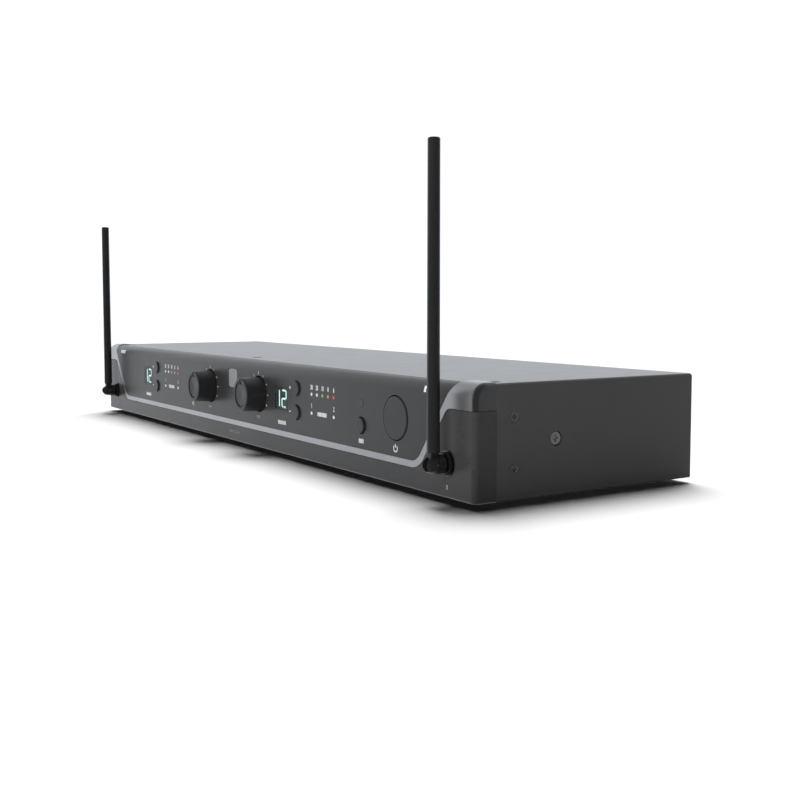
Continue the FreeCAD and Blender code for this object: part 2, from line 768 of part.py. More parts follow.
# ---------------------------------------------------------------- displays, lamps, sensor
def lit_segment(name, kind, x, z):
    """One lit bar of a digit, on the face of the display module."""
    if kind == "flat":
        half_wide = d.digit_wide / 2 - d.stroke - 0.1
        half_high = d.stroke / 2
    else:
        half_wide = d.stroke / 2
        half_high = d.digit_high / 4 - d.stroke / 4 - 0.1
    return block(name, (x - half_wide, x + half_wide), (behind(0.25), behind(0.35)),
                 (above(z - half_high), above(z + half_high)))


def digit(name, segments, x):
    """The lit bars of one digit: each is named by its place in the figure eight."""
    across = d.digit_wide / 2 - d.stroke / 2
    up = d.digit_high / 2 - d.stroke / 2
    places = {
        "top": ("flat", x, d.window_z + up),
        "middle": ("flat", x, d.window_z),
        "bottom": ("flat", x, d.window_z - up),
        "upper_left": ("tall", x - across, d.window_z + up / 2),
        "lower_left": ("tall", x - across, d.window_z - up / 2),
        "upper_right": ("tall", x + across, d.window_z + up / 2),
        "lower_right": ("tall", x + across, d.window_z - up / 2),
    }
    return [lit_segment(f"{name}_{segment}", *places[segment]) for segment in segments]


def displays():
    """Two-digit display modules, their lit bars and the dark lenses in front."""
    modules = []
    bars = []
    lenses = []
    for side, x in channel_xs(d.window_x):
        half_wide = d.window_wide / 2
        half_high = d.window_high / 2
        zs = (above(d.window_z - half_high), above(d.window_z + half_high))
        xs = (x - half_wide, x + half_wide)
        modules.append(block(f"module_{side}", xs, (behind(0.35), behind(d.board_front)), zs))
        lenses.append(block(f"lens_{side}", xs, (behind(-0.1), behind(0.25)), zs))
        centre = x - 1.1
        bars += digit(f"tens_{side}", ("upper_right", "lower_right"), centre - d.digit_pitch / 2)
        bars += digit(f"units_{side}", ("top", "upper_right", "middle", "lower_left", "bottom"),
                      centre + d.digit_pitch / 2)
    subpart("display_modules", group("display_modules", modules))
    subpart("display_digits", group("display_digits", bars))
    subpart("display_lenses", group("display_lenses", lenses))


def lamp_groups():
    """Round lamps on stems that stand on the front board."""
    for node, spots in LAMP_GROUPS:
        solids = []
        for name, x, z in spots:
            foot = (x, behind(d.board_front), above(z))
            solids.append(rod(f"lamp_{name}", d.lamp_r, d.board_front + 0.15, foot, "-Y"))
        subpart(node, group(node, solids))


def sensor():
    """The remote sensor behind its round window."""
    window = rod("sensor_window", d.sensor_r, 2.6, (d.sync_x, behind(2.5), above(d.sensor_z)), "-Y")
    subpart("sensor_window", window)
    housing = block("sensor_block", (d.sync_x - 2.5, d.sync_x + 2.5),
                    (behind(3.4), behind(d.board_front)),
                    (above(d.sensor_z - 2.5), above(d.sensor_z + 2.5)))
    dome = ball("sensor_dome", 1.6, (d.sync_x, behind(4.3), above(d.sensor_z)))
    subpart("sensor", join("sensor", [housing, dome]))


# ---------------------------------------------------------------- keys
KEY_FLANGE = (2.8, 3.6)


def key(node, radius, proud, x, z):
    """A round key: rounded cap, and a flange that stops behind the panel."""
    flange_front, flange_rear = KEY_FLANGE
    profile = [(0, 0), (radius + 0.9, 0), (radius + 0.9, flange_rear - flange_front),
               (radius, flange_rear - flange_front), (radius, flange_rear + proud - 0.5),
               (radius - 0.15, flange_rear + proud - 0.15), (radius - 0.5, flange_rear + proud),
               (0, flange_rear + proud)]
    subpart(node, turned(node, profile, (x, behind(flange_rear), above(z)), "-Y"))


def keys():
    for node, x, z in small_keys():
        key(node, d.key_r, 0.9, x, z)
    key("power_button", d.power_r, 0.35, d.power_x, d.power_z)


def key_switches():
    """Push switches on the front board, one behind each key."""
    plunger_front = d.key_travel + KEY_FLANGE[1] + 0.3
    small = []
    for name, x, z in small_keys():
        can = block(f"switch_can_{name}", (x - 3, x + 3), (behind(5.2), behind(d.board_front)),
                    (above(z - 3), above(z + 3)))
        plunger = rod(f"switch_plunger_{name}", 1.5, 1.5, (x, behind(plunger_front + 1.5), above(z)), "-Y")
        small.append(join(f"switch_{name}", [can, plunger]))
    can = block("power_can", (d.power_x - 6, d.power_x + 6), (behind(5.2), behind(d.board_front)),
                (above(d.power_z - 6), above(d.power_z + 6)))
    where = (d.power_x, behind(plunger_front + 1.5), above(d.power_z))
    plunger = rod("power_plunger", 2.5, 1.5, where, "-Y")
    small.append(join("power_switch", [can, plunger]))
    subpart("key_switches", group("key_switches", small))


# ---------------------------------------------------------------- volume controls
def volume_knob(side, sign):
    """A straight-sided knob: chamfered rim, ring groove, dished face and pointer notch."""
    long = d.knob_reach + 1
    bore = d.shaft_r + 0.02
    rim = d.knob_face_r - 0.55
    disc = d.knob_face_r * 0.73
    profile = [(bore, 0), (d.knob_r, 0), (d.knob_r, 3), (d.knob_face_r, long - 0.5), (rim, long),
               (disc + 0.3, long), (disc, long - 0.6), (disc - 0.5, long - 0.3), (0, long - 0.55),
               (0, long - 2.6), (bore, long - 2.6)]
    x = d.knob_x * sign
    body = turned(f"knob_turned_{side}", profile, (x, behind(1), above(d.knob_z)), "-Y")
    notch = block(f"knob_notch_{side}", (x - 0.6, x + 0.6),
                  (behind(-d.knob_reach - 1), behind(-d.knob_reach + 0.9)),
                  (above(d.knob_z + 5), above(d.knob_z + 8)))
    subpart(f"volume_knob_{side}", cut(f"volume_knob_{side}", body, [notch]))


def volume_shaft(side, sign):
    where = (d.knob_x * sign, behind(8.6), above(d.knob_z))
    long = d.knob_reach - 2.6 + 8.6
    subpart(f"volume_shaft_{side}", rod(f"volume_shaft_{side}", d.shaft_r, long, where, "-Y"))


def volume_pots():
    """Rotary controls on the front board, each with a bore that its shaft turns in."""
    pieces = []
    for side, sign in SIDES:
        x = d.knob_x * sign
        can = block(f"pot_can_{side}", (x - 8, x + 8), (behind(3.5), behind(d.board_front)),
                    (above(d.knob_z - 8), above(d.knob_z + 8)))
        where = (x, behind(10), above(d.knob_z))
        bore = rod(f"pot_bore_{side}", d.shaft_r + d.turning_fit, 10, where, "-Y")
        pieces.append(cut(f"pot_{side}", can, [bore]))
    subpart("volume_pots", group("volume_pots", pieces))


# ---------------------------------------------------------------- aerials
def ring(name, outer, inner, start, end, x):
    """A ring round an aerial axis between two distances in front of the panel."""
    thick = bound(end) - start
    rear = behind(-bound(start))
    disc = rod(name + "_disc", outer, thick, (x, rear, above(d.aerial_z)), "-Y")
    hole = rod(name + "_hole", inner, thick + 2, (x, rear + 1, above(d.aerial_z)), "-Y")
    return cut(name, disc, [hole])


def aerial_connectors():
    """Washers, insulating bushings, connector barrels, lock nuts and leads of both aerials."""
    washers = []
    bushings = []
    barrels = []
    nuts = []
    leads = []
    hole = d.barrel_r + 0.03
    for side, sign in SIDES:
        x = d.aerial_x * sign
        z = above(d.aerial_z)
        washers.append(ring(f"washer_{side}", bound(5.05), hole, 0, 0.5, x))
        bushings.append(ring(f"bushing_{side}", bound(4.4), hole, 0.5, 1.6, x))
        nuts.append(ring(f"lock_nut_{side}", bound(4.9), hole, -6.7, -4.25, x))
        barrel = rod(f"barrel_{side}", d.barrel_r, 13.6, (x, behind(12), z), "-Y")
        rim = rod(f"rim_{side}", 3.95, 0.6, (x, behind(-1.6), z), "-Y")
        bore = rod(f"barrel_bore_{side}", d.spigot_r + d.turning_fit, 10, (x, behind(2), z), "-Y")
        chamber = rod(f"barrel_chamber_{side}", 2.4, 3.5, (x, behind(5), z), "-Y")
        solid = join(f"connector_solid_{side}", [barrel, rim])
        barrels.append(cut(f"connector_{side}", solid, [bore, chamber]))
        deck_top = d.deck + d.board
        run = rod(f"lead_run_{side}", 1.2, 10, (x, behind(22), z), "-Y")
        drop = rod(f"lead_drop_{side}", 1.2, d.aerial_z - deck_top, (x, behind(22), above(deck_top)))
        bend = ball(f"lead_bend_{side}", 1.2, (x, behind(22), z))
        leads.append(join(f"lead_{side}", [run, drop, bend]))
    subpart("aerial_washers", group("aerial_washers", washers))
    subpart("aerial_bushings", group("aerial_bushings", bushings))
    subpart("aerial_connectors", group("aerial_connectors", barrels))
    subpart("aerial_lock_nuts", group("aerial_lock_nuts", nuts))
    subpart("aerial_leads", group("aerial_leads", leads))


def aerial_elbow(side, sign):
    """Turning elbow: knurled collar, nose with a slot for the tongue, spigot with a stop head."""
    x = d.aerial_x * sign
    z = above(d.aerial_z)
    hinge = (x, behind(-d.hinge_out), z)
    knurled = rod(f"collar_{side}", d.collar_r, 2.7, (x, behind(-2.5), z), "-Y")
    grooves = []
    count = 20
    for index in range(count):
        groove = doc.addObject("Part::Cylinder", f"groove_{side}_{index}")
        groove.Radius = 0.22
        groove.Height = 2.1
        angle = 2 * math.pi * index / count
        place(groove, (x + (d.collar_r + 0.05) * math.cos(angle), behind(-2.8),
                       z + (d.collar_r + 0.05) * math.sin(angle)), "-Y")
        grooves.append(groove)
    collar = cut(f"collar_knurled_{side}", knurled, grooves)
    spigot = rod(f"spigot_{side}", d.spigot_r, 5.5, (x, behind(2.6), z), "-Y")
    head = rod(f"spigot_head_{side}", 2.1, 0.8, (x, behind(2.6), z), "-Y")
    nose = bullet(f"nose_{side}", d.elbow_r, d.nose, hinge, "-Y")
    solid = join(f"elbow_solid_{side}", [collar, nose, spigot, head])
    xs = (x - d.slot_half, x + d.slot_half)
    hinge_y = behind(-d.hinge_out)
    reach = d.elbow_r + 2
    tools = [
        rod(f"slot_round_{side}", d.slot_r, d.slot_half * 2, (x - d.slot_half, hinge_y, z), "+X"),
        block(f"slot_up_{side}", xs, (hinge_y - reach, hinge_y + d.slot_r), (z, z + reach)),
        block(f"slot_out_{side}", xs, (hinge_y - reach, hinge_y), (z - d.slot_r, z + reach)),
        rod(f"elbow_pin_hole_{side}", d.pin_r, 10, (x - 5, hinge_y, z), "+X"),
    ]
    subpart(f"aerial_elbow_{side}", cut(f"aerial_elbow_{side}", solid, tools))
    pin = rod(f"hinge_pin_{side}", d.pin_r, 6, (x - 3, hinge_y, z), "+X")
    subpart(f"hinge_pin_{side}", pin)


def aerial_mast(side, sign, end):
    """Whip aerial: tongue on the hinge pin, flattened blade, round neck, tapered mast, end cap."""
    x = d.aerial_x * sign
    y = behind(-d.hinge_out)
    z = above(d.aerial_z)
    tongue = rod(f"tongue_{side}", d.tongue_r, d.tongue_half * 2, (x - d.tongue_half, y, z), "+X")
    blade = block(f"blade_{side}", (x - d.tongue_half, x + d.tongue_half), (y - d.neck_r, y + d.neck_r),
                  (z, z + d.neck_foot + 0.2))
    neck = rod(f"neck_{side}", d.neck_r, 1.2, (x, y, z + d.neck_foot))
    cap_foot = end - 2.2
    mast = taper(f"mast_{side}", d.mast_r, d.mast_tip_r, cap_foot - d.mast_foot, (x, y, z + d.mast_foot))
    waist = rod(f"mast_waist_{side}", d.mast_tip_r - 0.12, 0.4, (x, y, z + cap_foot - 0.1))
    cap = rod(f"mast_cap_{side}", d.mast_tip_r, 1.6, (x, y, z + cap_foot + 0.2))
    tip = taper(f"mast_tip_{side}", d.mast_tip_r, d.mast_tip_r - 0.4, 0.4, (x, y, z + end - 0.4))
    solid = join(f"mast_solid_{side}", [tongue, blade, neck, mast, waist, cap, tip])
    bore = rod(f"tongue_bore_{side}", d.pin_r + d.turning_fit, 6, (x - 3, y, z), "+X")
    subpart(f"aerial_mast_{side}", cut(f"aerial_mast_{side}", solid, [bore]))


# ---------------------------------------------------------------- boards and what stands on them
def boards():
    face = behind(d.board_front)
    front_board = block("front_board", (-188, 188), (face, face + d.board), (above(5), above(40)))
    subpart("front_board", front_board)
    plate = block("main_board_plate", (-200, 200), (behind(24.5), behind(98)),
                  (above(d.deck), above(d.deck + d.board)))
    posts = []
    fasteners = []
    holes = []
    for x_name, x in (("left", -185), ("mid_left", -60), ("mid_right", 60), ("right", 185)):
        for y_name, y in (("front", 30), ("rear", 88)):
            name = f"{x_name}_{y_name}"
            post = rod(f"post_solid_{name}", 3, d.deck - d.steel, (x, behind(y), above(d.steel)))
            thread = rod(f"post_thread_{name}", 1.3, 6, (x, behind(y), above(d.steel + 1)))
            posts.append(cut(f"post_{name}", post, [thread]))
            holes.append(rod(f"board_hole_{name}", 1.6, 4, (x, behind(y), above(d.deck - 1))))
            where = (x, behind(y), above(d.deck + d.board + 1.8))
            fasteners.append(pan_screw(f"board_screw_{name}", 2.7, 1.8, 1.25, 6, where, "-Z"))
    subpart("main_board", cut("main_board", plate, holes))
    subpart("board_posts", group("board_posts", posts))
    subpart("board_screws", group("board_screws", fasteners))


def on_board(name, xs, ys, high):
    """A block that stands on the main board."""
    low = d.deck + d.board
    return block(name, xs, (behind(ys[0]), behind(ys[1])), (above(low), above(low + high)))


def board_parts():
    cans = []
    for side, sign in SIDES:
        centre = 100 * sign
        base = on_board(f"module_base_{side}", (centre - 32, centre + 32), (34, 68), 9)
        lid = on_board(f"module_lid_{side}", (centre - 32.4, centre + 32.4), (33.6, 68.4), 4)
        place(lid, (centre - 32.4, behind(33.6), above(d.deck + d.board + 6)))
        cans.append(join(f"module_can_{side}", [base, lid]))
    subpart("tuner_modules", group("tuner_modules", cans))

    fins = [on_board("heatsink_base", (150, 153), (40, 78), 22)]
    for index in range(6):
        y = 41 + index * 6.4
        fins.append(on_board(f"heatsink_fin_{index}", (152, 164), (y, y + 1.6), 22))
    subpart("regulator_heatsink", join("regulator_heatsink", fins))

    tall = []
    for index, x in enumerate((-30, -14, 14, 30)):
        tall.append(rod(f"capacitor_{index}", 5, 16, (x, behind(60), above(d.deck + d.board))))
    subpart("capacitors", group("capacitors", tall))

    plug = behind(d.board_front + d.board)
    deck_top = above(d.deck + d.board)
    ribbon_profile = [(plug, above(20)), (behind(18), above(20)), (behind(18), above(14)),
                      (behind(29.2), above(14)), (behind(29.2), deck_top), (behind(30), deck_top),
                      (behind(30), above(14.8)), (behind(18.8), above(14.8)),
                      (behind(18.8), above(20.8)), (plug, above(20.8))]
    body = new_body("ribbon_cable")
    pad(body, polygon(body, "ribbon_profile", "YZ_Plane", ribbon_profile), 26)
    subpart("ribbon_cable", body)


# ---------------------------------------------------------------- rear sockets
def output_sockets():
    """Three-pin balanced output sockets: flange, round shell, insert and pins."""
    shells = []
    pins = []
    for side, sign in SIDES:
        x = d.socket_x * sign
        z = above(d.rear_z)
        corners = rectangle((-13, 13), (-15.5, 15.5))
        flange = plate_body(f"socket_flange_{side}", "XZ_Plane", corners, d.flange,
                            (x, behind(d.deep + d.flange / 2), z), 3, "Y")
        shell = rod(f"socket_shell_{side}", d.socket_r, 19, (x, behind(d.deep - 18), z), "+Y")
        cavity = rod(f"socket_cavity_{side}", 9.5, 16, (x, behind(d.deep - 14), z), "+Y")
        solid = join(f"socket_solid_{side}", [flange, shell])
        shells.append(cut(f"socket_{side}", solid, [cavity]))
        for index, (across, up) in enumerate(((0, -4.2), (3.64, 2.1), (-3.64, 2.1))):
            foot = (x + across, behind(d.deep - 14), z + up)
            pin = rod(f"socket_pin_{side}_{index}", 1.2, 12, foot, "+Y")
            tip = ball(f"socket_pin_tip_{side}_{index}", 1.2, (foot[0], behind(d.deep - 2), foot[2]))
            pins.append(join(f"pin_{side}_{index}", [pin, tip]))
    subpart("output_sockets", group("output_sockets", shells))
    subpart("output_pins", group("output_pins", pins))


def mixed_jack():
    """Quarter-inch output jack with its nut outside the rear wall."""
    z = above(d.rear_z)
    inner_face = d.deep - d.steel
    body = block("jack_body", (-8, 8), (behind(inner_face - 32), behind(inner_face)),
                 (above(d.rear_z - 8), above(d.rear_z + 8)))
    nose = rod("jack_nose", 4.5, d.steel + d.flange, (0, behind(inner_face), z), "+Y")
    bore_end = behind(d.deep + d.flange - d.jack_long)
    bore = rod("jack_bore", d.jack_r, d.jack_long + 5, (0, bore_end, z), "+Y")
    subpart("mix_jack", cut("mix_jack", join("jack_solid", [body, nose]), [bore]))
    angle = [math.radians(60 * index) for index in range(6)]
    corners = [(7 * math.cos(turn), 7 * math.sin(turn)) for turn in angle]
    nut = plate_body("jack_nut_plate", "XZ_Plane", corners, 1.7, (0, behind(d.deep + 0.85), z), 0, "Y")
    hole = rod("jack_nut_hole", 4.53, 6, (0, behind(d.deep - 2), z), "+Y")
    subpart("jack_nut", cut("jack_nut", nut, [hole]))


def supply_inlet():
    """Low-voltage inlet with a centre pin."""
    z = above(d.rear_z)
    body = block("inlet_body", (d.supply_x - 5.5, d.supply_x + 5.5),
                 (behind(d.deep - 12), behind(d.deep + 0.6)),
                 (above(d.rear_z - 5.5), above(d.rear_z + 5.5)))
    hole = rod("inlet_hole", 3.1, 12, (d.supply_x, behind(d.deep - 9), z), "+Y")
    pin = rod("inlet_pin", 1.05, 8.5, (d.supply_x, behind(d.deep - 9.5), z), "+Y")
    subpart("supply_inlet", join("supply_inlet", [cut("inlet_shell", body, [hole]), pin]))


# ---------------------------------------------------------------- build and export
def build():
    panel_form = front_block("panel_form", 0, d.high, d.brow_round, d.edge_round)
    cap_form = front_block("cap_form", 0, d.high + d.cap_rise, d.cap_brow, d.edge_round)
    hollow = front_block("hollow_form", d.skin, d.high - d.skin, d.brow_round - d.skin, None)
    behind_front = block("behind_front", (-d.half_wide - 5, d.half_wide + 5),
                         (behind(d.bezel_deep), behind(40)), (0, above(d.high + 10)))
    panel_shell = cut("panel_shell", panel_form, [join("panel_inside", [hollow, behind_front])])
    cap_shell = cut("cap_shell", cap_form, [join("cap_inside", [hollow, behind_front])])
    seam = d.seam
    panel_prism = front_prism("panel_prism",
                              [(slope_x(d.strip_high, -seam), above(d.strip_high + seam)),
                               (slope_x(d.slope_top, -seam), above(d.slope_top))],
                              [(d.inner_round, (slope_x(d.strip_high, -seam), above(d.strip_high + seam)))])
    control_panel(panel_shell, panel_prism)
    accent_trim(cap_shell)
    front_bezel(panel_shell)
    badge()
    top_cover(panel_prism)
    chassis_pan()
    front_rail()
    side_brackets()
    rubber_feet()
    screws()
    displays()
    lamp_groups()
    sensor()
    keys()
    key_switches()
    for side, sign in SIDES:
        volume_knob(side, sign)
        volume_shaft(side, sign)
        aerial_elbow(side, sign)
    volume_pots()
    aerial_connectors()
    aerial_mast("left", -1, d.mast_left_end)
    aerial_mast("right", 1, d.mast_right_end)
    boards()
    board_parts()
    output_sockets()
    mixed_jack()
    supply_inlet()
    doc.recompute()


def export():
    """Check every object, then write one file for each sub-part."""
    for item in doc.Objects:
        if "Invalid" in item.State or "Error" in item.State:
            raise RuntimeError(f"{item.Name} did not build: {item.State}")
    os.makedirs("parts", exist_ok=True)
    for label, item in SUBPARTS.items():
        if item.Shape.isNull() or not item.Shape.isValid():
            raise RuntimeError(label + " is not a valid shape")
        item.Shape.exportStep(f"parts/{label}.step")
    print(len(SUBPARTS), "sub-parts written")


build()
export()
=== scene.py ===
"""Finishes, printed marks, floor, light and camera for the wireless receiver."""

import json
import math

import bmesh
import bpy
from mathutils import Matrix, Vector


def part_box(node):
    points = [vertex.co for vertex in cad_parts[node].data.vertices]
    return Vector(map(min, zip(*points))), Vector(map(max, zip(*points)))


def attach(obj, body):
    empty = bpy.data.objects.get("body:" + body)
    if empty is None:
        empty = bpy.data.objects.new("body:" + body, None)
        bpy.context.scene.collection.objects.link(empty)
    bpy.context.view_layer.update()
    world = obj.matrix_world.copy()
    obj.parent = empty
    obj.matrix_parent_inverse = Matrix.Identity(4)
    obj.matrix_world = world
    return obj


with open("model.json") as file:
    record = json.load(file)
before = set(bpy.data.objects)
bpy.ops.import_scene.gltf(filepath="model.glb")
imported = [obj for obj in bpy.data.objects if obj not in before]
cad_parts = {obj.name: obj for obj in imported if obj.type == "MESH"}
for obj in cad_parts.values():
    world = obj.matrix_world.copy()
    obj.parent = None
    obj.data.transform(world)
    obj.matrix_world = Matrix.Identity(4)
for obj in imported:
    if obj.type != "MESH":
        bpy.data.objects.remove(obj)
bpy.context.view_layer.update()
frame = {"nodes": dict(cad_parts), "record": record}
nodes = frame["nodes"]
MM = 0.001


# ---------------------------------------------------------------- places taken from the CAD
def centre(node):
    low, high = (Vector(corner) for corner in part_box(node))
    return (low + high) / 2


PANEL_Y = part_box("control_panel")[0][1]
CASE_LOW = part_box("chassis_pan")[0][2]
PRINT_Y = PANEL_Y - 0.02 * MM
PRINT_THICK = 0.05 * MM

# the CAD's own spacing of the two channels, and the curve of the panel's upper edge, in mm
CHANNEL_PITCH = 190.2
PANEL_HIGH = 44.0
BROW_ROUND = 5.5

# directions that light comes from
BRIGHT_SIDE = (-0.84, 0.54, 0)
KEY_FROM = (-0.4, 0.31, 1.0)
FILL_FROM = (0.5, -1.7, 0.7)

# the view: degrees to the right of the front, degrees down, lens in mm, place in mm
VIEW_TURN = 57.183
VIEW_TILT = 4.081
VIEW_LENS = 47.07
VIEW_SHIFT = -0.0293
VIEW_X = 514.74
VIEW_BEFORE_PANEL = 226.34
VIEW_HEIGHT = 73.77


def above(height):
    return CASE_LOW + height * MM


# ---------------------------------------------------------------- materials
class Finish:
    """A principled material with its node tree at hand."""

    def __init__(self, name):
        self.material = bpy.data.materials.new(name)
        self.material.use_nodes = True
        self.tree = self.material.node_tree
        self.shader = self.tree.nodes["Principled BSDF"]
        self.coords = self.tree.nodes.new("ShaderNodeTexCoord")

    def node(self, kind, **values):
        item = self.tree.nodes.new("ShaderNode" + kind)
        for key, value in values.items():
            setattr(item, key, value)
        return item

    def link(self, source, target):
        self.tree.links.new(source, target)

    def set(self, **values):
        for key, value in values.items():
            self.shader.inputs[key.replace("_", " ")].default_value = value
        return self

    def noise(self, scale, detail=2.0, roughness=0.5, stretch=(1, 1, 1)):
        mapping = self.node("Mapping")
        mapping.inputs["Scale"].default_value = stretch
        self.link(self.coords.outputs["Object"], mapping.inputs["Vector"])
        noise = self.node("TexNoise")
        noise.inputs["Scale"].default_value = scale
        noise.inputs["Detail"].default_value = detail
        noise.inputs["Roughness"].default_value = roughness
        self.link(mapping.outputs["Vector"], noise.inputs["Vector"])
        return noise.outputs["Fac"]

    def spread(self, value, low, high, start=0.3, end=0.7):
        """Map a noise value to a range."""
        item = self.node("MapRange")
        for name, amount in zip(("From Min", "From Max", "To Min", "To Max"), (start, end, low, high)):
            item.inputs[name].default_value = amount
        self.link(value, item.inputs["Value"])
        return item.outputs["Result"]

    def tint(self, value, dark, light):
        """Colour between two shades by a noise value."""
        ramp = self.node("ValToRGB")
        ramp.color_ramp.elements[0].position = 0.3
        ramp.color_ramp.elements[1].position = 0.7
        ramp.color_ramp.elements[0].color = (*dark, 1)
        ramp.color_ramp.elements[1].color = (*light, 1)
        self.link(value, ramp.inputs["Fac"])
        self.link(ramp.outputs["Color"], self.shader.inputs["Base Color"])

    def bump(self, value, height, edge=0.15 * MM):
        """Relief from a value, over edges softened to a small radius."""
        item = self.node("Bump")
        item.inputs["Strength"].default_value = 1.0
        item.inputs["Distance"].default_value = height
        self.link(value, item.inputs["Height"])
        if edge:
            soft = self.node("Bevel", samples=4)
            soft.inputs["Radius"].default_value = edge
            self.link(soft.outputs["Normal"], item.inputs["Normal"])
        self.link(item.outputs["Normal"], self.shader.inputs["Normal"])


def shade(colour, factor):
    return tuple(channel * factor for channel in colour)


def surface(name, colour, rough, grain, depth, spread=0.06, varied=0.12, metallic=0.0,
            specular=0.5, stretch=(1, 1, 1), edge=0.15 * MM):
    """A surface with cloudy colour, uneven gloss and fine relief."""
    finish = Finish(name)
    finish.set(Metallic=metallic, Specular_IOR_Level=specular)
    clouds = finish.noise(28, 4.0)
    finish.tint(clouds, shade(colour, 1 - varied), shade(colour, 1 + varied))
    fine = finish.noise(grain, 3.0, 0.55, stretch)
    blotches = finish.noise(90, 5.0, 0.6)
    gloss = finish.spread(blotches, rough - spread, rough + spread)
    finish.link(gloss, finish.shader.inputs["Roughness"])
    finish.bump(fine, depth, edge)
    return finish


def lamp(name, colour, strength, body=0.5):
    """A lit plastic lens."""
    finish = surface(name, shade(colour, body), 0.35, 900, 0.02 * MM)
    finish.set(Emission_Color=(*colour, 1), Emission_Strength=strength)
    return finish


def glass_lens(name):
    """A tinted window that lets the display behind it show."""
    finish = surface(name, (0.04, 0.055, 0.066), 0.14, 300, 0.003 * MM, spread=0.03)
    finish.set(Alpha=0.35)
    return finish


FINISHES = {
    "case_paint": surface(
        "case_paint", (0.086, 0.087, 0.089), 0.32, 1100, 0.003 * MM, 0.015, 0.03, edge=0.2 * MM),
    "inner_steel": surface(
        "inner_steel", (0.5, 0.5, 0.51), 0.4, 900, 0.01 * MM, metallic=1.0, stretch=(1, 30, 30)),
    "bezel_plastic": surface(
        "bezel_plastic", (0.064, 0.0642, 0.065), 0.26, 1400, 0.003 * MM, 0.015, 0.04,
        specular=0.3, edge=0.1 * MM),
    "panel_plastic": surface(
        "panel_plastic", (0.046, 0.0462, 0.047), 0.33, 1400, 0.004 * MM, 0.02, 0.04, edge=0.05 * MM),
    "trim_silver": surface(
        "trim_silver", (0.71, 0.715, 0.72), 0.42, 2000, 0.004 * MM, 0.02, 0.03,
        metallic=1.0, edge=0.1 * MM),
    "badge_silver": surface("badge_silver", (0.3, 0.303, 0.31), 0.4, 2500, 0.006 * MM, 0.03, 0.04),
    "rubber_black": surface("rubber_black", (0.018, 0.018, 0.018), 0.75, 1500, 0.04 * MM),
    "screw_black": surface(
        "screw_black", (0.14, 0.14, 0.145), 0.3, 1800, 0.01 * MM, metallic=0.2, edge=0.05 * MM),
    "screw_bright": surface(
        "screw_bright", (0.28, 0.28, 0.285), 0.28, 1800, 0.01 * MM, metallic=0.2, edge=0.05 * MM),
    "display_black": surface("display_black", (0.11, 0.14, 0.155), 0.45, 1500, 0.006 * MM),
    "display_glow": lamp("display_glow", (0.66, 1.0, 0.9), 1.6),
    "display_lens": glass_lens("display_lens"),
    "lamp_white": lamp("lamp_white", (0.8, 0.86, 0.9), 0.45),
    "lamp_green": lamp("lamp_green", (0.22, 0.62, 0.2), 0.4),
    "lamp_amber": lamp("lamp_amber", (0.75, 0.33, 0.12), 0.4),
    "lamp_red": lamp("lamp_red", (0.8, 0.12, 0.09), 0.4),
    "sensor_red": surface("sensor_red", (0.05, 0.045, 0.05), 0.15, 900, 0.004 * MM),
    "key_plastic": surface(
        "key_plastic", (0.042, 0.0425, 0.044), 0.34, 1400, 0.004 * MM, 0.02, 0.04, edge=0.06 * MM),
    "knob_black": surface(
        "knob_black", (0.03, 0.031, 0.033), 0.36, 2400, 0.008 * MM, edge=0.25 * MM),
    "board_green": surface("board_green", (0.02, 0.12, 0.055), 0.35, 400, 0.02 * MM),
    "part_steel": surface("part_steel", (0.55, 0.55, 0.56), 0.35, 900, 0.01 * MM, metallic=1.0),
    "heatsink_black": surface(
        "heatsink_black", (0.03, 0.03, 0.03), 0.4, 1200, 0.01 * MM, metallic=0.6),
    "component_plastic": surface("component_plastic", (0.03, 0.03, 0.045), 0.35, 900, 0.01 * MM),
    "ribbon_grey": surface(
        "ribbon_grey", (0.4, 0.4, 0.42), 0.5, 500, 0.05 * MM, stretch=(6, 0.2, 0.2)),
    "connector_nickel": surface(
        "connector_nickel", (0.16, 0.16, 0.165), 0.28, 1500, 0.008 * MM, metallic=1.0),
    "bushing_black": surface("bushing_black", (0.02, 0.02, 0.02), 0.5, 1500, 0.01 * MM),
    "aerial_black": surface(
        "aerial_black", (0.026, 0.026, 0.0262), 0.3, 1200, 0.001 * MM, 0.008, 0.04, edge=0.12 * MM),
    "socket_black": surface("socket_black", (0.02, 0.02, 0.021), 0.45, 1500, 0.012 * MM),
    "print_white": surface("print_white", (0.92, 0.93, 0.94), 0.55, 3000, 0.004 * MM, edge=None),
    "print_dim": surface("print_dim", (0.2, 0.202, 0.205), 0.5, 3000, 0.004 * MM, edge=None),
    "print_grey": surface("print_grey", (0.28, 0.285, 0.29), 0.55, 3000, 0.004 * MM, edge=None),
}


def finish_cad_nodes():
    """Every CAD node takes the finish of its slot in the record."""
    for row in frame["record"]["subparts"]:
        mesh = nodes[row["node"]].data
        mesh.materials.clear()
        mesh.materials.append(FINISHES[row["material_slot"]].material)


# ---------------------------------------------------------------- printed marks
def place_print(piece, slot_name):
    piece.data.materials.append(FINISHES[slot_name].material)
    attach(piece, "case")


def set_back(z):
    """How far the front face has curved back at a height, over the rounded upper edge."""
    rise = max(0.0, z - above(PANEL_HIGH - BROW_ROUND))
    return BROW_ROUND * MM - math.sqrt((BROW_ROUND * MM) ** 2 - rise ** 2)


